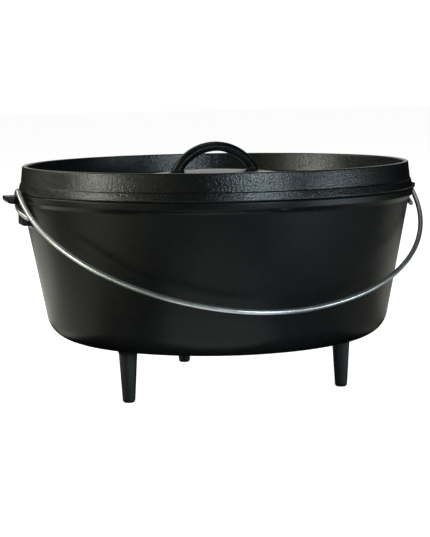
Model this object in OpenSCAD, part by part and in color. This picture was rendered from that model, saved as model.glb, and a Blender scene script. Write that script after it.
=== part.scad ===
// Cast iron camp dutch oven: a deep tapered pot on three legs, a flanged lid that holds coals,
// and a steel wire bail that hooks through two ears under the rim.
// The origin is on the ground, on the pot's axis. The ears lie along X and the bail rests towards -Y.

/* [Pot] */
// Radius of the wall where it would meet the bottom, before the corner is rounded
pot_foot_r = 139.4; // [120:0.1:150]
// Flare of the wall from the vertical, in degrees
wall_flare = 10.7; // [4:0.1:14]
// Radius of the rounded corner between bottom and wall
corner_r = 20; // [12:1:28]
// Thickness of the wall
wall_t = 5.2; // [4:0.1:7]
// Thickness of the bottom
bottom_t = 6; // [5:0.5:9]
// Height of the rim above the ground
rim_z = 166; // [150:1:180]
// Outer radius of the rim band
rim_r = 163.9; // [163:0.1:166]
// Height of the rim band above its cove
rim_h = 5.6; // [4:0.1:8]

/* [Legs] */
// Height of the legs, which is the height of the pot's bottom above the ground
leg_h = 45; // [30:1:60]
// Radius of the circle that the legs stand on
leg_circle_r = 105; // [90:1:110]
// Diameter of a leg at the ground
leg_foot_d = 10; // [8:0.5:12]
// Diameter of a leg under the pot
leg_top_d = 15.5; // [13:0.5:18]

/* [Lid] */
// Height of the lid, from its seat to the top of the flange
lid_h = 21.2; // [18:0.1:26]
// Outer radius of the flange at its top
flange_r = 160; // [158:0.1:162]
// Thickness of the flange at its top
flange_t = 3.4; // [3:0.1:6]
// Thickness of the domed plate
plate_t = 5; // [4:0.1:6]
// Height of the plate's crown above the seat
crown_h = 14.9; // [12:0.1:18]
// Height of the plate's edge above the seat
plate_edge_h = 2.9; // [2.5:0.1:5]

/* [Lid handle] */
// Radius of the handle's outer arc
handle_r = 42.3; // [38:0.1:44]
// Height of the handle's top above the lid's seat
handle_top_h = 38.2; // [36:0.1:44]
// Radial thickness of the handle
handle_t = 7.8; // [5:0.1:9]
// Width of the handle across its bar
handle_w = 12.8; // [10:0.1:15]

/* [Ears] */
// Distance from the axis to the outer end of an ear
ear_reach = 177.5; // [177:0.5:184]
// Width of an ear
ear_w = 22; // [20:1:24]
// Thickness of an ear's tab
ear_t = 6; // [5:0.5:6]
// Height of the tab's top above the ground
ear_z = 165; // [155:0.5:165]
// Distance from the axis to the face of the gusset under the tab
gusset_reach = 165; // [163:0.5:165]
// Depth of the gusset under the tab
gusset_h = 18; // [10:1:24]
// Distance from the axis to the centre of the bail's hole
ear_hole_x = 168.6; // [168:0.1:169]
// Diameter of the bail's hole
ear_hole_d = 7.2; // [7:0.1:7.6]

/* [Bail] */
// Diameter of the wire
wire_d = 4; // [3.5:0.1:4]
// Distance from the axis to the hooks
hook_x = 167.7; // [167.7:0.1:168.5]
// Radius of a hook, to the middle of the wire
hook_r = 7.2; // [7.1:0.1:7.4]
// Length of the tail from the hook to its bend
tail_l = 9; // [8:0.5:10]
// Length of the tail's tip after the bend
tip_l = 18; // [8:1:19]
// How much the tail closes towards the leg, in degrees
tail_close = 15; // [0:0.5:17]
// How much the tip bends in towards the wall, in degrees
tip_in = 12; // [0:1:13]
// Radius of the bail's long side arcs
side_r = 176.4; // [170:0.1:182]
// Sweep of a side arc, in degrees
side_sweep = 75.4; // [68:0.1:78]
// Angle between the resting bail and straight down, in degrees
bail_rest = 61.5; // [58:0.5:62]

/* [Hidden] */

iron = "#2b2c2c";
lid_iron = "#323434";
steel = "silver";

round_fn = 180;
small_fn = 48;
overlap = 1;

// Where the legs stand, measured from +X.
leg_back_a = 90;
leg_left_a = 210;
leg_right_a = 330;
leg_edge = 1.2;
leg_flare_h = 4;
leg_flare = 2;

// The rim band meets the wall in a cove.
cove_h = 3;
rim_inner_r = 156.5;

// The lid steps down inside the pot's mouth so that it can't slide off.
spigot_r = 155;
spigot_h = 2.4;
spigot_w = 5;
band_h = 6.5;
band_top_r = 162.4;
crease = 0.7;
flange_foot_r = 161.6;
flange_edge = 1;
flange_draft = 1.4;
plate_r = 150;
plate_steps = 20;
flange_fillet = 3.5;

// The handle's bar is widest at its parting line and is bevelled above and below it.
handle_part = 0.45;
handle_z = rim_z + handle_top_h - handle_r;
handle_sweep = 150;

ear_end_r = 4.5;
gusset_end_r = 2;

// The bail turns about the bar that the hole leaves at the front of each ear.
hole_front_y = -sqrt(pow(ear_hole_d / 2, 2) - pow(ear_hole_x - hook_x, 2));
pivot_y = (hole_front_y - ear_w / 2) / 2;
pivot_z = ear_z - ear_t / 2;
leg_straight = 2;
bead_proud = 0.03;
hook_wrap = 180 + tail_close;
crown_start = hook_x - side_r * (1 - cos(side_sweep));
crown_r = crown_start / cos(side_sweep);
side_end = leg_straight + side_r * sin(side_sweep);
crown_c = side_end - crown_r * sin(side_sweep);

// Outer radius of the wall at a height above the pot's bottom.
function wall_r(h) = pot_foot_r + h * tan(wall_flare);

// The plate falls from its crown to its edge in one smooth wave.
function plate_z(r) =
    plate_edge_h + (crown_h - plate_edge_h) * (1 + cos(180 * min(r / plate_r, 1))) / 2;

// One side of a tapered bowl: a flat bottom, a rounded corner and a flared wall up to its mouth.
module bowl_half(foot_r, corner, mouth) {
    centre_r = foot_r - corner * (1 - sin(wall_flare)) / cos(wall_flare);
    wall_start = [centre_r + corner * cos(wall_flare), corner * (1 - sin(wall_flare))];
    polygon(concat([[0, 0], [centre_r, 0], wall_start], mouth));
    translate([centre_r, corner]) circle(r = corner, $fn = round_fn);
}

// The pot's outside, filled in. The rim band meets the wall in a cove.
module pot_outside() {
    height = rim_z - leg_h;
    band = height - rim_h;
    translate([0, 0, leg_h]) rotate_extrude($fn = round_fn)
        bowl_half(pot_foot_r, corner_r, [
            [wall_r(band - cove_h), band - cove_h],
            [rim_r, band],
            [rim_r, height],
            [0, height]
        ]);
}

// The cooking space. Its mouth is straight for the depth of the lid's spigot.
module pot_inside() {
    inner_foot_r = pot_foot_r - wall_t / cos(wall_flare) + bottom_t * tan(wall_flare);
    height = rim_z - leg_h - bottom_t;
    mouth = height - spigot_h - 1;
    translate([0, 0, leg_h + bottom_t]) rotate_extrude($fn = round_fn)
        bowl_half(inner_foot_r, corner_r - wall_t, [
            [inner_foot_r + mouth * tan(wall_flare), mouth],
            [rim_inner_r, mouth],
            [rim_inner_r, height + overlap],
            [0, height + overlap]
        ]);
}

module pot_body() {
    color(iron) difference() {
        pot_outside();
        pot_inside();
    }
}

// A round tapered leg with a softened foot and a flare where it joins the bottom.
module leg(angle) {
    color(iron) rotate(angle) translate([leg_circle_r, 0])
        rotate_extrude($fn = small_fn) polygon([
            [0, 0],
            [leg_foot_d / 2 - leg_edge, 0],
            [leg_foot_d / 2, leg_edge],
            [leg_top_d / 2, leg_h - leg_flare_h],
            [leg_top_d / 2 + leg_flare, leg_h],
            [0, leg_h]
        ]);
}

module leg_back() {
    leg(leg_back_a);
}

module leg_front_left() {
    leg(leg_left_a);
}

module leg_front_right() {
    leg(leg_right_a);
}

// A bar with one rounded lower outer corner, seen along Y. It runs out from the axis along +X.
module rounded_bar(reach, top, thickness, corner) {
    low = top - thickness;
    translate([0, ear_w / 2, 0]) rotate([90, 0, 0]) linear_extrude(ear_w) difference() {
        translate([pot_foot_r, low]) square([reach - pot_foot_r, thickness]);
        difference() {
            translate([reach - corner, low - overlap]) square(corner + overlap);
            translate([reach - corner, low + corner]) circle(r = corner, $fn = small_fn);
        }
    }
}

// An ear: a flat tab with an upright hole for the bail, on a gusset that runs down the wall.
module ear() {
    color(iron) difference() {
        union() {
            rounded_bar(ear_reach, ear_z, ear_t, ear_end_r);
            rounded_bar(gusset_reach, ear_z - ear_t, gusset_h, gusset_end_r);
        }
        pot_outside();
        translate([ear_hole_x, 0, ear_z - ear_t - overlap])
            cylinder(d = ear_hole_d, h = ear_t + 2 * overlap, $fn = small_fn);
    }
}

module ear_right() {
    ear();
}

module ear_left() {
    mirror([1, 0, 0]) ear();
}

// One side of the lid, with heights measured from its seat on the rim.
module lid_half() {
    flange_in = flange_r - flange_t;
    top = [for (i = [0:plate_steps]) let (r = plate_r * i / plate_steps) [r, plate_z(r)]];
    under = [for (i = [0:plate_steps]) let (r = plate_r * i / plate_steps) [r, plate_z(r) - plate_t]];
    under_down = [for (i = [plate_steps:-1:0]) under[i]];
    polygon(concat(
        top,
        [
            [flange_in - flange_draft - flange_fillet / 2, plate_edge_h + flange_fillet / 3],
            [flange_in - flange_draft, plate_edge_h + flange_fillet],
            [flange_in, lid_h - flange_edge],
            [flange_in + flange_edge, lid_h],
            [flange_r - flange_edge, lid_h],
            [flange_r, lid_h - flange_edge],
            [flange_foot_r, band_h + crease],
            [band_top_r, band_h],
            [rim_r, 0],
            [spigot_r, 0],
            [spigot_r, -spigot_h],
            [spigot_r - spigot_w, -spigot_h]
        ],
        under_down
    ));
}

module lid() {
    color(lid_iron) translate([0, 0, rim_z]) rotate_extrude($fn = round_fn) lid_half();
}

// Everything below the plate's top, which the handle's feet stop at.
module under_plate() {
    translate([0, 0, rim_z]) rotate_extrude($fn = round_fn) polygon(concat(
        [for (i = [0:plate_steps]) let (r = plate_r * i / plate_steps) [r, plate_z(r)]],
        [[plate_r, -handle_r], [0, -handle_r]]
    ));
}

// The bar's cross-section, with its outer side towards +X.
module handle_section() {
    half = handle_w / 2;
    part_r = handle_r - handle_t * handle_part;
    polygon([
        [handle_r, -half * 0.35],
        [handle_r - handle_t * 0.1, -half * 0.68],
        [part_r, -half],
        [handle_r - handle_t * 0.8, -half * 0.82],
        [handle_r - handle_t, -half * 0.5],
        [handle_r - handle_t, half * 0.5],
        [handle_r - handle_t * 0.8, half * 0.82],
        [part_r, half],
        [handle_r - handle_t * 0.1, half * 0.68],
        [handle_r, half * 0.35]
    ]);
}

module lid_handle() {
    color(lid_iron) difference() {
        translate([0, 0, handle_z]) rotate([90, 0, 0]) rotate(90 - handle_sweep / 2)
            rotate_extrude(angle = handle_sweep, $fn = round_fn) handle_section();
        under_plate();
    }
}

// A bend of the wire: its centre line is an arc about the origin in the XY plane.
module wire_bend(radius, start, sweep) {
    rotate(start) rotate_extrude(angle = sweep, $fn = round_fn)
        translate([radius, 0]) circle(d = wire_d, $fn = small_fn);
}

// Neighbouring stretches of the wire run together in a bead that is hardly thicker than the wire.
module wire_joint() {
    sphere(r = wire_d / 2 + bead_proud, $fn = small_fn);
}

// The tail of a hook, which runs towards -Y and then bends in towards the wall.
module tail() {
    wire_joint();
    rotate([90, 0, 0]) cylinder(d = wire_d, h = tail_l, $fn = small_fn);
    translate([0, -tail_l, 0]) {
        wire_joint();
        rotate([90 + tip_in, 0, 0]) cylinder(d = wire_d, h = tip_l, $fn = small_fn);
    }
}

// One side of the bail in its own plane: X is across the oven, Y runs out from the hook.
module bail_side() {
    translate([hook_x, 0, 0]) {
        wire_joint();
        rotate([-90, 0, 0]) cylinder(d = wire_d, h = leg_straight, $fn = small_fn);
        translate([0, leg_straight, 0]) wire_joint();
    }
    translate([hook_x - side_r, leg_straight, 0]) {
        wire_bend(side_r, 0, side_sweep);
        rotate(side_sweep) translate([side_r, 0, 0]) wire_joint();
    }
    translate([hook_x, 0, hook_r]) rotate([0, 90, 0]) {
        wire_bend(hook_r, -hook_wrap, hook_wrap);
        rotate(-hook_wrap) translate([hook_r, 0, 0]) tail();
    }
}

// The bail is one wire. Its plane passes in front of the bar that the hooks turn about.
module bail() {
    color(steel) translate([0, pivot_y, pivot_z]) rotate([270 - bail_rest, 0, 0])
        translate([0, 0, -hook_r]) {
            bail_side();
            mirror([1, 0, 0]) bail_side();
            translate([0, crown_c, 0]) wire_bend(crown_r, side_sweep, 180 - 2 * side_sweep);
        }
}

pot_body();
leg_back();
leg_front_left();
leg_front_right();
ear_left();
ear_right();
lid();
lid_handle();
bail();
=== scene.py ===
"""The looks of the cast iron camp dutch oven: two sand castings and one plated wire."""

import math

import bpy
import numpy as np
from mathutils import Matrix, Vector


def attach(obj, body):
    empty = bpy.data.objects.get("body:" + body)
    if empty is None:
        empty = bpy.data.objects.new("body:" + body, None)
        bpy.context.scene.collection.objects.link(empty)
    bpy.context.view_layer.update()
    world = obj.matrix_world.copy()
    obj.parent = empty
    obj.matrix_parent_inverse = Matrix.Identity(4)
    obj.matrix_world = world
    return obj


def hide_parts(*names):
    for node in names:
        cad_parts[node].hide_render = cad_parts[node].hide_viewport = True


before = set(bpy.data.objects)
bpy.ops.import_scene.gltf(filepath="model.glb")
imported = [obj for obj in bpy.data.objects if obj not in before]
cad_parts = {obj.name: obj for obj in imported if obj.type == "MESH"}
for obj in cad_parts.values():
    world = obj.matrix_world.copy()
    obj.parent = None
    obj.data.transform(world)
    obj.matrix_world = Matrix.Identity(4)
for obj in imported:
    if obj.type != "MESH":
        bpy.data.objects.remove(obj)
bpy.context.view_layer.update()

MM = 0.001

# Sizes are in millimetres, radii from the oven's upright axis and heights from the ground.
# The pot.
FLARE = math.radians(10.7)
BOTTOM_Z = 45.0
FOOT_R = 139.4
CORNER_R = 20.0
RIM_Z = 166.0
RIM_R = 163.9
BAND_Z = 160.4
BAND_SLOPE = 3.0
WALL_T = 5.2
FLOOR_T = 6.0
MOUTH_R = 156.5
MOUTH_Z = 162.6

# The legs.
LEG_CIRCLE = 105.0
LEG_TIP_R = 5.0
LEG_SPREAD = 2.75
LEG_FILLET = 7.0
LEG_PATCH_R = 16.0
LEG_PATCH_Z = BOTTOM_Z + 2.5
LEG_TUCK = 0.05

# The ears, drawn at +X. The patch is the part of the pot's skin that their fillets reach.
EAR_ROOT = 140.0
EAR_TIP = 177.5
EAR_HALF = 11.0
EAR_LOW, EAR_TOP = 159.0, 165.0
EAR_EDGE = 1.0
EAR_CORNER = 4.5
GUSSET_X = 165.0
GUSSET_LOW, GUSSET_TOP = 141.0, 161.0
HOLE_X = 168.6
HOLE_R = 3.6
PATCH_X = 148.0
PATCH_HALF = 17.0
PATCH_LOW, PATCH_TOP = 134.0, 165.4

# The lid.
PLATE_R = 150.0
PLATE_EDGE = 2.9
PLATE_T = 5.0
CROWN = 14.9
FLANGE_Z = 187.2
FLANGE_IN, FLANGE_OUT = 156.6, 160.0
LID_R = 163.85
SEAT_Z = 166.05
SPIGOT_R = 155.0
SPIGOT_Z = 163.6

# The lid's handle, half of a bevelled ring about a level axis, and how far its fillets reach.
HANDLE_Z = 161.9
HANDLE_OUT = 42.3
HANDLE_IN = 34.5
HANDLE_RIDGE = HANDLE_OUT - 3.5
HANDLE_HALF = 6.4
ARCH_X, ARCH_Y = 50.0, 14.0
ARCH_LOW = 172.0

# How far a fillet's foot is tucked into the casting that it runs onto.
TUCK = 0.06

# The wire.
WIRE_R = 2.0
CUT_EDGE = 0.45
HOOK_X = 167.7
HOOK_R = 7.2
PIVOT_Y = -7.243
PIVOT_Z = 162.0
LEG_STRAIGHT = 2.0
SIDE_R = 176.4
SIDE_SWEEP = math.radians(75.4)
REST = math.radians(61.5)
TAIL_CLOSE = math.radians(15)
TAIL = 9.0
TIP = 18.0
TIP_IN = math.radians(12)

# The camera, in a view that is turned about the oven's axis and looks along +Y.
VIEW = Matrix.Rotation(math.radians(-17.0), 4, "Z")
EYE = Vector((0, -1284.84, 253.77))
PITCH = math.radians(6.934)
YAW = math.radians(-0.061)
ROLL = math.radians(-0.864)
LENS = 103.025
SENSOR = 36.0


# ---------------------------------------------------------------- mesh making

def make_mesh(name, verts, faces, material, smooth=True):
    """A mesh object from points in millimetres and a list of faces."""
    mesh = bpy.data.meshes.new(name)
    mesh.from_pydata((np.asarray(verts, float) * MM).tolist(), [], faces)
    mesh.validate()
    mesh.polygons.foreach_set("use_smooth", np.full(len(mesh.polygons), smooth))
    mesh.materials.append(material)
    obj = bpy.data.objects.new(name, mesh)
    bpy.context.scene.collection.objects.link(obj)
    return obj


def resample(points, step):
    """Points no further than step apart along a polyline, its own corners kept."""
    out = [points[0]]
    for a, b in zip(points[:-1], points[1:]):
        n = max(1, math.ceil(math.dist(a, b) / step))
        out += [(a[0] + (b[0] - a[0]) * i / n, a[1] + (b[1] - a[1]) * i / n) for i in range(1, n + 1)]
    return out


def rounded(points, radii, steps):
    """A polyline with each inner corner turned into an arc of its own radius."""
    out = [points[0]]
    for before, here, after, radius in zip(points[:-2], points[1:-1], points[2:], radii):
        p, q, s = (np.array(v, float) for v in (before, here, after))
        u, v = (p - q), (s - q)
        lu, lv = np.linalg.norm(u), np.linalg.norm(v)
        u, v = u / lu, v / lv
        half = math.acos(max(-1.0, min(1.0, float(u @ v)))) / 2
        reach = min(radius / math.tan(half), 0.49 * lu, 0.49 * lv)
        radius = reach * math.tan(half)
        centre = q + (u + v) / np.linalg.norm(u + v) * (radius / math.sin(half))
        a, b = q + u * reach - centre, q + v * reach - centre
        turn = math.atan2(a[0] * b[1] - a[1] * b[0], float(a @ b))
        for i in range(steps + 1):
            c, d = math.cos(turn * i / steps), math.sin(turn * i / steps)
            out.append(tuple(centre + np.array([a[0] * c - a[1] * d, a[0] * d + a[1] * c])))
    out.append(points[-1])
    return out


def skin_over(name, rings, start, end, material):
    """A closed skin over rings of equally many points, with one point at either end."""
    count = rings.shape[1]
    top = (len(rings) - 1) * count
    turn = [(j, (j + 1) % count) for j in range(count)]
    faces = [(i + j, i + count + j, i + count + k, i + k) for i in range(0, top, count) for j, k in turn]
    first, last = top + count, top + count + 1
    faces += [(first, j, k) for j, k in turn]
    faces += [(last, top + k, top + j) for j, k in turn]
    return make_mesh(name, np.concatenate([rings.reshape(-1, 3), [start, end]]), faces, material)


def lathe(name, profile, count, material, unevenness):
    """A closed body of revolution. Its (r, z) profile runs from the axis below to the axis above."""
    profile = np.array(profile, float)
    ring = profile[1:-1]
    angle = np.arange(count) * 2 * math.pi / count
    c, s = np.cos(angle), np.sin(angle)
    verts = np.stack(np.broadcast_arrays(ring[:, :1] * c, ring[:, :1] * s, ring[:, 1:]), -1)
    tangent = np.gradient(ring, axis=0)
    normal = np.stack([-tangent[:, 1], tangent[:, 0]], axis=1)
    normal /= np.linalg.norm(normal, axis=1)[:, None]
    outward = np.stack(np.broadcast_arrays(normal[:, :1] * c, normal[:, :1] * s, normal[:, 1:]), -1)
    verts = verts + outward * unevenness(verts)[..., None]
    return skin_over(name, verts, (0, 0, profile[0, 1]), (0, 0, profile[-1, 1]), material)


def surface_net(name, field, low, high, step, material):
    """A closed quad mesh of the zero level of a distance field, all in millimetres."""
    axes = [np.arange(lo - step, hi + 2 * step, step) for lo, hi in zip(low, high)]
    grid = np.stack(np.meshgrid(*axes, indexing="ij"), -1)
    value = field(grid)
    inside = value < 0
    shape = np.array(value.shape)
    total = np.zeros(tuple(shape - 1) + (3,))
    hits = np.zeros(tuple(shape - 1))
    crossings = []
    for axis in range(3):
        a, b = [slice(None)] * 3, [slice(None)] * 3
        a[axis], b[axis] = slice(None, -1), slice(1, None)
        a, b = tuple(a), tuple(b)
        cross = inside[a] != inside[b]
        v0, v1 = value[a][cross], value[b][cross]
        t = (v0 / (v0 - v1))[:, None]
        point = grid[a][cross] * (1 - t) + grid[b][cross] * t
        others = [o for o in range(3) if o != axis]
        ring = []
        for du, dv in ((-1, -1), (0, -1), (0, 0), (-1, 0)):
            cell = np.argwhere(cross)
            cell[:, others[0]] += du
            cell[:, others[1]] += dv
            ok = ((cell >= 0) & (cell < shape - 1)).all(1)
            np.add.at(total, tuple(cell[ok].T), point[ok])
            np.add.at(hits, tuple(cell[ok].T), 1)
            ring.append(cell)
        flip = inside[a][cross] if axis != 1 else ~inside[a][cross]
        crossings.append((np.stack(ring, 1), flip))
    used = hits > 0
    number = np.full(hits.shape, -1, int)
    number[used] = np.arange(used.sum())
    verts = settle(total[used] / hits[used][:, None], field, step)
    quads = []
    for ring, flip in crossings:
        q = number[ring[..., 0], ring[..., 1], ring[..., 2]]
        quads.append(np.where(flip[:, None], q, q[:, ::-1]))
    return make_mesh(name, verts, np.concatenate(quads).tolist(), material)


def settle(verts, field, step):
    """Points moved along the field's slope onto its zero level, by under a step each time."""
    eps = step * 0.05
    for _ in range(3):
        slope = np.stack([(field(verts + eps * e) - field(verts - eps * e)) / (2 * eps)
                          for e in np.eye(3)], -1)
        steepness = np.maximum((slope ** 2).sum(-1), 0.25)
        move = slope * (field(verts) / steepness)[:, None]
        reach = np.linalg.norm(move, axis=1)[:, None]
        verts = verts - move * np.minimum(1, 0.6 * step / np.maximum(reach, 1e-9))
    return verts


# ---------------------------------------------------------------- distance fields

def smin(a, b, k):
    """The union of two fields with a fillet of about size k."""
    h = np.maximum(k - np.abs(a - b), 0) / k
    return np.minimum(a, b) - h * h * k / 4


def smax(a, b, k):
    """The part that two fields share, its edge rounded by about size k."""
    return -smin(-a, -b, k)


def box_field(p, low, high, radius):
    """Distance to a box with rounded edges."""
    low, high = np.array(low, float), np.array(high, float)
    q = np.abs(p - (low + high) / 2) - ((high - low) / 2 - radius)
    return np.linalg.norm(np.maximum(q, 0), axis=-1) + np.minimum(q.max(-1), 0) - radius


def wall_radius(z):
    """The pot's outer radius at a height, without the rim band."""
    return FOOT_R + (z - BOTTOM_Z) * math.tan(FLARE)


def pot_field(p):
    """Distance to the pot's outside near its wall and rim band."""
    r, z = np.hypot(p[..., 0], p[..., 1]), p[..., 2]
    wall = (r - wall_radius(z)) * math.cos(FLARE)
    return smin(wall, np.maximum(r - RIM_R, BAND_Z - z), 3.0)


def plate_height(r):
    """Height of the lid's domed plate above the ground."""
    wave = (1 + np.cos(np.pi * np.minimum(r / PLATE_R, 1))) / 2
    return RIM_Z + PLATE_EDGE + (CROWN - PLATE_EDGE) * wave


# ---------------------------------------------------------------- materials

def grey(v):
    return (v, v, v)


def new_material(name):
    mat = bpy.data.materials.new(name)
    mat.use_nodes = True
    nodes, links = mat.node_tree.nodes, mat.node_tree.links
    return mat, nodes, links, nodes["Principled BSDF"]


def noise_node(nodes, links, coords, scale, detail, rough):
    tex = nodes.new("ShaderNodeTexNoise")
    tex.inputs["Scale"].default_value = scale
    tex.inputs["Detail"].default_value = detail
    tex.inputs["Roughness"].default_value = rough
    links.new(coords, tex.inputs["Vector"])
    return tex.outputs["Fac"]


def grains(nodes, links, coords, scale):
    """Heights of closely packed round grains, as sand leaves on a casting."""
    tex = nodes.new("ShaderNodeTexVoronoi")
    tex.feature = "F1"
    tex.inputs["Scale"].default_value = scale
    links.new(coords, tex.inputs["Vector"])
    square = nodes.new("ShaderNodeMath")
    square.operation = "MULTIPLY"
    links.new(tex.outputs["Distance"], square.inputs[0])
    links.new(tex.outputs["Distance"], square.inputs[1])
    flip = nodes.new("ShaderNodeMath")
    flip.operation = "SUBTRACT"
    flip.inputs[0].default_value = 1.0
    links.new(square.outputs["Value"], flip.inputs[1])
    return flip.outputs["Value"]


def ramp(nodes, links, value, low, high):
    """A colour that goes from one (place, colour) stop to another as the value grows."""
    node = nodes.new("ShaderNodeValToRGB")
    for element, (stop, colour) in zip(node.color_ramp.elements, (low, high)):
        element.position = stop
        element.color = (*colour, 1)
    links.new(value, node.inputs["Fac"])
    return node.outputs["Color"]


def blend_colour(nodes, links, amount, a, b):
    """A mix of two colours. The amount and the colours are sockets or plain values."""
    node = nodes.new("ShaderNodeMix")
    node.data_type = "RGBA"
    for value, sock in ((amount, node.inputs["Factor"]), (a, node.inputs[6]), (b, node.inputs[7])):
        if isinstance(value, bpy.types.NodeSocket):
            links.new(value, sock)
        elif isinstance(value, float):
            sock.default_value = value
        else:
            sock.default_value = (*value, 1)
    return node.outputs[2]


def bump(nodes, links, height, strength, distance, before=None):
    node = nodes.new("ShaderNodeBump")
    node.inputs["Strength"].default_value = strength
    node.inputs["Distance"].default_value = distance
    links.new(height, node.inputs["Height"])
    if before is not None:
        links.new(before, node.inputs["Normal"])
    return node.outputs["Normal"]


def cast_iron(name, colour, roughness, pebble, depth, grain_depth, specular):
    """Seasoned sand-cast iron: pebbles, a finer grain, uneven seasoning and lighter worn edges."""
    mat, nodes, links, shader = new_material(name)
    coords = nodes.new("ShaderNodeTexCoord").outputs["Object"]
    patches = noise_node(nodes, links, coords, 22, 4, 0.6)
    mottle = noise_node(nodes, links, coords, 260, 3, 0.6)
    grain = noise_node(nodes, links, coords, 2400, 2, 0.6)
    pebbles = grains(nodes, links, coords, 1 / (pebble * MM))
    lumps = noise_node(nodes, links, coords, 0.85 / (pebble * MM), 1, 0.5)

    dark = tuple(c * 0.72 for c in colour)
    light = tuple(c * 1.3 for c in colour)
    worn = tuple(c * 2.6 + 0.02 for c in colour)
    base = ramp(nodes, links, patches, (0.3, dark), (0.7, light))
    base = blend_colour(nodes, links, 0.35, base, ramp(nodes, links, mottle, (0.35, dark), (0.65, light)))
    edge = nodes.new("ShaderNodeNewGeometry").outputs["Pointiness"]
    wear = ramp(nodes, links, edge, (0.52, grey(0.0)), (0.62, grey(1.0)))
    links.new(blend_colour(nodes, links, wear, base, worn), shader.inputs["Base Color"])

    broad = ramp(nodes, links, patches, (0.3, grey(roughness - 0.05)), (0.7, grey(roughness + 0.06)))
    fine = ramp(nodes, links, grain, (0.3, grey(roughness - 0.07)), (0.7, grey(roughness + 0.09)))
    links.new(blend_colour(nodes, links, 0.5, broad, fine), shader.inputs["Roughness"])
    shader.inputs["Specular IOR Level"].default_value = specular
    shader.inputs["Metallic"].default_value = 0.0

    normal = bump(nodes, links, lumps, 1.0, depth * 0.25 * MM)
    normal = bump(nodes, links, pebbles, 1.0, depth * 0.8 * MM, normal)
    normal = bump(nodes, links, grain, 1.0, grain_depth * MM, normal)
    links.new(normal, shader.inputs["Normal"])
    return mat


def plated_wire(name):
    """Bright plated steel wire with faint marks of drawing and handling."""
    mat, nodes, links, shader = new_material(name)
    coords = nodes.new("ShaderNodeTexCoord").outputs["Object"]
    uneven = noise_node(nodes, links, coords, 55, 3, 0.6)
    fine = noise_node(nodes, links, coords, 1600, 2, 0.6)
    base = ramp(nodes, links, uneven, (0.35, (0.52, 0.53, 0.54)), (0.65, (0.66, 0.66, 0.65)))
    links.new(base, shader.inputs["Base Color"])
    rough = ramp(nodes, links, uneven, (0.3, grey(0.3)), (0.7, grey(0.38)))
    links.new(rough, shader.inputs["Roughness"])
    shader.inputs["Metallic"].default_value = 0.85
    links.new(bump(nodes, links, fine, 0.5, 0.02 * MM), shader.inputs["Normal"])
    return mat


wall_iron = cast_iron("wall_iron", (0.007, 0.0075, 0.0075), roughness=0.33,
                      pebble=1.4, depth=0.06, grain_depth=0.015, specular=0.2)
lid_iron = cast_iron("lid_iron", (0.007, 0.007, 0.0072), roughness=0.27,
                     pebble=1.3, depth=0.2, grain_depth=0.02, specular=0.48)
# The legs are the same iron as the pot, but their colour is painted about twice as light: painted light
# that stands in for the floor's light on the legs.
leg_iron_painted_light = cast_iron("leg_iron_painted_light", (0.014, 0.0165, 0.0165), roughness=0.42,
                     pebble=1.4, depth=0.06, grain_depth=0.02, specular=0.4)
handle_iron = cast_iron("handle_iron", (0.006, 0.0062, 0.0065), roughness=0.34,
                        pebble=1.4, depth=0.02, grain_depth=0.01, specular=0.25)
wire_steel = plated_wire("wire_steel")


# ---------------------------------------------------------------- the pot casting

def place(obj, body, node):
    """Ties a piece to its body and hides the CAD node that it stands for."""
    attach(obj, body)
    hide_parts(node)


def waves(points, size, depth, seed, count=14):
    """A smooth random shift of a casting's skin, made of a few fixed waves."""
    rng = np.random.default_rng(seed)
    total = np.zeros(points.shape[:-1])
    for _ in range(count):
        way = rng.normal(size=3)
        way /= np.linalg.norm(way)
        total += np.sin(points @ way * 2 * math.pi / (size * rng.uniform(0.6, 1.6))
                        + rng.uniform(0, 2 * math.pi))
    return total * depth / math.sqrt(count)


def pot_skin(points):
    return waves(points, 46, 0.035, seed=3)


def pot_profile():
    """The pot's section, from the axis under the bottom round the rim to the axis inside."""
    floor_z = BOTTOM_Z + FLOOR_T
    inner_foot = FOOT_R - WALL_T / math.cos(FLARE) + FLOOR_T * math.tan(FLARE)
    return rounded([
        (0, BOTTOM_Z),
        (FOOT_R, BOTTOM_Z),
        (wall_radius(BAND_Z - BAND_SLOPE), BAND_Z - BAND_SLOPE),
        (RIM_R, BAND_Z),
        (RIM_R, RIM_Z),
        (MOUTH_R, RIM_Z),
        (MOUTH_R, MOUTH_Z),
        (inner_foot + (MOUTH_Z - floor_z) * math.tan(FLARE), MOUTH_Z),
        (inner_foot, floor_z),
        (0, floor_z),
    ], [CORNER_R, 3.0, 1.1, 1.3, 0.7, 0.6, 0.5, CORNER_R - WALL_T], 14)


pot = lathe("pot_casting", resample(pot_profile(), 1.6), 420, wall_iron, pot_skin)
place(pot, "pot", "pot_body")


def make_leg(node, degrees):
    """A tapered leg with a rounded foot, filleted onto the pot's bottom."""
    angle = math.radians(degrees)
    x, y = LEG_CIRCLE * math.cos(angle), LEG_CIRCLE * math.sin(angle)
    taper = math.cos(math.atan(LEG_SPREAD / BOTTOM_Z))

    def field(p):
        rho, z = np.hypot(p[..., 0] - x, p[..., 1] - y), p[..., 2]
        side = (rho - LEG_TIP_R - LEG_SPREAD * z / BOTTOM_Z) * taper
        whole = smin(smax(side, -z, 2.4), BOTTOM_Z + LEG_TUCK - z, LEG_FILLET)
        return np.maximum(whole, np.maximum(rho - LEG_PATCH_R, z - LEG_PATCH_Z))

    reach = LEG_PATCH_R + 1
    low, high = (x - reach, y - reach, -0.5), (x + reach, y + reach, LEG_PATCH_Z + 1.5)
    leg = surface_net(node + "_cast", field, low, high, 0.8, leg_iron_painted_light)
    place(leg, "pot", node)


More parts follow.
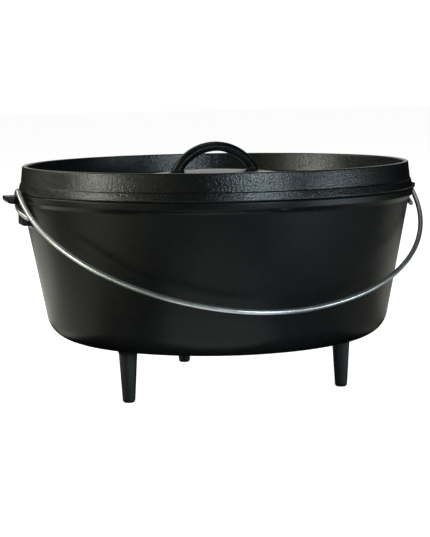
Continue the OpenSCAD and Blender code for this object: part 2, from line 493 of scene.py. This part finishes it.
def make_ear(node, side):
    """A flat tab with an upright hole, on a gusset, filleted onto the pot's wall."""
    corner_x, corner_z = EAR_TIP - EAR_CORNER, EAR_LOW + EAR_CORNER

    def field(p):
        q = p * (side, 1, 1)
        x, y, z = q[..., 0], q[..., 1], q[..., 2]
        tab = box_field(q, (EAR_ROOT, -EAR_HALF, EAR_LOW), (EAR_TIP, EAR_HALF, EAR_TOP), EAR_EDGE)
        corner = np.hypot(np.maximum(x - corner_x, 0), np.maximum(corner_z - z, 0)) - EAR_CORNER
        tab = smax(tab, np.where((x > corner_x) & (z < corner_z), corner, -2 * EAR_CORNER), 0.6)
        gusset = box_field(q, (EAR_ROOT, -EAR_HALF, GUSSET_LOW), (GUSSET_X, EAR_HALF, GUSSET_TOP), EAR_EDGE)
        ear = smax(smin(tab, gusset, 1.6), HOLE_R - np.hypot(x - HOLE_X, y), 0.9)
        whole = smin(ear, pot_field(q) + TUCK, 3.4)
        patch = np.maximum(np.maximum(np.abs(y) - PATCH_HALF, PATCH_X - x),
                           np.maximum(z - PATCH_TOP, PATCH_LOW - z))
        return np.maximum(whole, patch)

    near, far = sorted((side * (PATCH_X - 1), side * (EAR_TIP + 3.5)))
    low, high = (near, -PATCH_HALF - 1, PATCH_LOW - 1), (far, PATCH_HALF + 1, PATCH_TOP + 0.6)
    ear = surface_net(node + "_cast", field, low, high, 0.55, wall_iron)
    place(ear, "pot", node)


for node, degrees in (("leg_back", 90), ("leg_front_left", 210), ("leg_front_right", 330)):
    make_leg(node, degrees)
for node, side in (("ear_left", -1), ("ear_right", 1)):
    make_ear(node, side)


# ---------------------------------------------------------------- the lid casting

def lid_skin(points):
    return waves(points, 40, 0.03, seed=7)


def lid_profile():
    """The lid's section, from the axis under the plate round the flange to the axis above."""
    plate = [(r, float(plate_height(r))) for r in np.linspace(0, PLATE_R - 1.5, 60)]
    under = [(r, float(plate_height(r)) - PLATE_T) for r in np.linspace(PLATE_R - 0.2, 0, 40)]
    rim = rounded([
        plate[-1],
        (155.2, RIM_Z + PLATE_EDGE),
        (FLANGE_IN, FLANGE_Z),
        (FLANGE_OUT, FLANGE_Z),
        (161.6, 173.2),
        (162.4, 172.5),
        (LID_R, SEAT_Z),
        (SPIGOT_R, SEAT_Z),
        (SPIGOT_R, SPIGOT_Z),
        (PLATE_R, SPIGOT_Z),
        under[0],
    ], [3.5, 1.2, 1.2, 0.35, 0.3, 1.0, 0.4, 0.8, 0.8], 8)
    return (plate[:-1] + rim + under[1:])[::-1]


def handle_field(p):
    """A bar of wedge section bent to an arch, filleted onto the lid's plate."""
    x, y, z = p[..., 0], np.abs(p[..., 1]), p[..., 2]
    rho = np.hypot(x, z - HANDLE_Z)
    outer = smax(rho - HANDLE_OUT, (rho - HANDLE_RIDGE) * 0.7 + (y - HANDLE_HALF) * 0.72, 1.2)
    inner = smax(HANDLE_IN - rho, (HANDLE_RIDGE - rho) * 0.3 + (y - HANDLE_HALF) * 0.95, 1.4)
    bar = smax(outer, inner, 0.2)
    whole = smin(bar, z - plate_height(np.hypot(x, y)) + TUCK, 3.2)
    return np.maximum(whole, np.maximum(np.maximum(np.abs(x) - ARCH_X, y - ARCH_Y), ARCH_LOW - z))


lid = lathe("lid_casting", resample(lid_profile(), 0.9), 640, lid_iron, lid_skin)
place(lid, "lid", "lid")
low = (-ARCH_X - 1, -ARCH_Y - 1, ARCH_LOW - 1)
high = (ARCH_X + 1, ARCH_Y + 1, HANDLE_Z + HANDLE_OUT + 1.3)
handle = surface_net("lid_handle_cast", handle_field, low, high, 0.6, handle_iron)
place(handle, "lid", "lid_handle")


# ---------------------------------------------------------------- the bail

def bail_path():
    """The wire's centre line as the bail hangs, from one cut end to the other.

    It is drawn as (x, v, w): v runs from the hooks to the crown and w stands off the bail's plane.
    """
    wrap = math.pi + TAIL_CLOSE
    tail_v, tail_w = -HOOK_R * math.sin(wrap), HOOK_R * (1 - math.cos(wrap))
    half = []
    for t in np.linspace(TAIL + TIP, 0, 32, endpoint=False):
        beyond = max(0.0, t - TAIL)
        along = t - beyond * (1 - math.cos(TIP_IN))
        half.append((HOOK_X - beyond * math.sin(TIP_IN),
                     tail_v + math.cos(TAIL_CLOSE) * along,
                     tail_w - math.sin(TAIL_CLOSE) * along))
    for a in np.linspace(wrap, 0, 41):
        half.append((HOOK_X, -HOOK_R * math.sin(a), HOOK_R * (1 - math.cos(a))))
    for a in np.linspace(0, SIDE_SWEEP, 90, endpoint=False):
        half.append((HOOK_X - SIDE_R * (1 - math.cos(a)), LEG_STRAIGHT + SIDE_R * math.sin(a), 0.0))
    crown_r = (HOOK_X - SIDE_R * (1 - math.cos(SIDE_SWEEP))) / math.cos(SIDE_SWEEP)
    crown_v = LEG_STRAIGHT + (SIDE_R - crown_r) * math.sin(SIDE_SWEEP)
    for a in np.linspace(SIDE_SWEEP, math.pi / 2, 25):
        half.append((crown_r * math.cos(a), crown_v + crown_r * math.sin(a), 0.0))
    x, v, w = np.array(half + [(-x, v, w) for x, v, w in reversed(half[:-1])]).T
    w = w - HOOK_R
    return np.stack([x,
                     PIVOT_Y + w * math.cos(REST) - v * math.sin(REST),
                     PIVOT_Z - w * math.sin(REST) - v * math.cos(REST)], -1)


def tube(name, path, radius, sides, material):
    """A swept round wire with softly rounded cut ends."""
    tangent = np.gradient(path, axis=0)
    tangent /= np.linalg.norm(tangent, axis=1)[:, None]
    across = np.cross(tangent[0], (1.0, 0, 0))
    frames = []
    for point, along in zip(path, tangent):
        across = across - along * float(across @ along)
        across = across / np.linalg.norm(across)
        frames.append((point, along, across, radius))
    quarter = [share * math.pi / 2 for share in (0.0, 0.3, 0.6, 0.85, 1.0)]
    bevel = [(CUT_EDGE * (1 - math.cos(t)), radius - CUT_EDGE * (1 - math.sin(t))) for t in quarter]
    point, along, across, _ = frames[0]
    start = [(point + along * back, along, across, r) for back, r in bevel]
    point, along, across, _ = frames[-1]
    end = [(point - along * back, along, across, r) for back, r in reversed(bevel)]
    angle = (np.arange(sides) * 2 * math.pi / sides)[:, None]
    rings = [centre + r * (np.cos(angle) * u + np.sin(angle) * np.cross(u, along))
             for centre, along, u, r in start + frames[1:-1] + end]
    return skin_over(name, np.stack(rings), path[0], path[-1], material)


wire = tube("bail_wire", bail_path(), WIRE_R, 28, wire_steel)
place(wire, "bail", "bail")


# ---------------------------------------------------------------- camera, floor and light

def make_camera():
    """The camera, placed and tilted as VIEW, EYE, YAW, PITCH and ROLL say."""
    forward = Vector((math.sin(YAW) * math.cos(PITCH), math.cos(YAW) * math.cos(PITCH), -math.sin(PITCH)))
    right = Vector((math.cos(YAW), -math.sin(YAW), 0))
    up = right.cross(forward)
    aim = Matrix((right * math.cos(ROLL) + up * math.sin(ROLL),
                  up * math.cos(ROLL) - right * math.sin(ROLL),
                  -forward)).transposed()
    lens = bpy.data.cameras.new("camera")
    lens.sensor_width = SENSOR
    lens.lens = LENS
    lens.clip_end = 50
    camera = bpy.data.objects.new("camera", lens)
    camera.matrix_world = VIEW @ Matrix.Translation(EYE * MM) @ aim.to_4x4()
    bpy.context.scene.collection.objects.link(camera)
    bpy.context.scene.camera = camera


def make_floor():
    """A plain pale floor that only the camera sees, so that it doesn't light the oven."""
    mat, nodes, links, shader = new_material("floor")
    coords = nodes.new("ShaderNodeTexCoord").outputs["Object"]
    tone = noise_node(nodes, links, coords, 3, 2, 0.5)
    links.new(ramp(nodes, links, tone, (0.3, grey(0.93)), (0.7, grey(0.95))), shader.inputs["Base Color"])
    shader.inputs["Roughness"].default_value = 0.9
    shader.inputs["Specular IOR Level"].default_value = 0.1
    shader.inputs["Emission Color"].default_value = (1, 1, 1, 1)
    shader.inputs["Emission Strength"].default_value = 0.97
    half = 12000.0
    corners = [(-half, -half, 0), (half, -half, 0), (half, half, 0), (-half, half, 0)]
    obj = make_mesh("floor", corners, [(0, 1, 2, 3)], mat, smooth=False)
    obj.visible_diffuse = False
    obj.visible_glossy = False
    obj.visible_shadow = False


def make_backdrop():
    """An even pale surround that only the camera sees."""
    world = bpy.data.worlds.new("world")
    bpy.context.scene.world = world
    world.use_nodes = True
    background = world.node_tree.nodes["Background"]
    background.inputs["Color"].default_value = (1, 1, 1, 1)
    background.inputs["Strength"].default_value = 1.05
    world.cycles_visibility.diffuse = False
    world.cycles_visibility.glossy = False
    bpy.context.scene.view_settings.view_transform = "Standard"


def area_light(name, shape, power, colour):
    data = bpy.data.lights.new(name, "AREA")
    data.shape = shape
    data.energy = power
    data.color = colour
    obj = bpy.data.objects.new(name, data)
    bpy.context.scene.collection.objects.link(obj)
    return obj


def direction(azimuth, elevation):
    """A unit vector away from the oven. Azimuth 0 is the camera's side, and 90 its right."""
    a, e = math.radians(azimuth), math.radians(elevation)
    return Vector((math.sin(a) * math.cos(e), -math.cos(a) * math.cos(e), math.sin(e)))


def lamp(name, azimuth, elevation, power, colour, size=(0.9, 0.9), distance=2.2):
    """A soft box that faces the oven, with its size and distance in metres."""
    obj = area_light(name, "RECTANGLE", power, colour)
    obj.data.size, obj.data.size_y = size
    middle = Vector((0, 0, 0.12))
    obj.location = VIEW @ (middle + direction(azimuth, elevation) * distance)
    obj.rotation_euler = (middle - obj.location).to_track_quat("-Z", "Y").to_euler()


def glow(name, azimuth, radius, size, power, colour):
    """Light that the pale floor throws up at the oven, from a round patch beside it."""
    obj = area_light(name, "DISK", power, colour)
    obj.data.size = size
    obj.location = VIEW @ (direction(azimuth, 0) * radius - Vector((0, 0, 0.002)))
    obj.rotation_euler = (math.pi, 0, 0)


make_camera()
make_floor()
make_backdrop()
lamp("left_low", -70, 12, 16, (0.97, 1.0, 0.86), (0.5, 0.5))
lamp("left_high", -106, 32, 14, (0.97, 1.0, 0.9))
lamp("left_side", -110, 0, 1.2, (0.98, 1.0, 0.9), (0.9, 0.3))
lamp("left_front", -42, 10, 1.6, (0.97, 1.0, 0.7))
lamp("front_right", 25, 14, 19, (0.76, 0.91, 1.0), (0.42, 0.6))
lamp("right_low", 66, 1, 10, (0.76, 0.92, 1.0), (0.8, 0.3))
lamp("right_side", 86, -4, 2.6, (0.95, 0.98, 0.95), (0.9, 0.4))
lamp("edge_left", -135, 3, 0.2, (1.0, 1.0, 0.85))
lamp("back_left", -160, 30, 0.9, (0.95, 1.0, 0.92))
lamp("back_right", 160, 30, 0.9, (0.95, 1.0, 0.85))
lamp("top", 180, 75, 4, (0.95, 1.0, 1.0))
lamp("backdrop", 180, 14, 3.9, (1.0, 1.0, 0.96), (1.6, 0.9), 2.6)
glow("floor_left", -92, 0.34, 0.34, 0.2, (0.98, 1.0, 0.88))
glow("floor_front_left", -60, 0.6, 0.4, 0.55, (0.97, 1.0, 0.84))
glow("floor_near_left", -38, 0.6, 0.34, 0.17, (0.95, 1.0, 0.82))
glow("floor_front", 0, 0.28, 0.26, 0.16, (0.9, 1.0, 0.97))
glow("floor_front_right", 42, 0.6, 0.4, 0.42, (0.85, 0.97, 1.0))
glow("floor_right", 92, 0.34, 0.34, 0.06, (1.0, 1.0, 0.88))
glow("floor_back_left", -138, 0.6, 0.6, 1.1, (1.0, 1.0, 0.9))
glow("floor_back_right", 138, 0.6, 0.6, 0.55, (1.0, 1.0, 0.9))
glow("floor_back", 180, 0.42, 0.5, 1.2, (0.92, 1.0, 0.95))
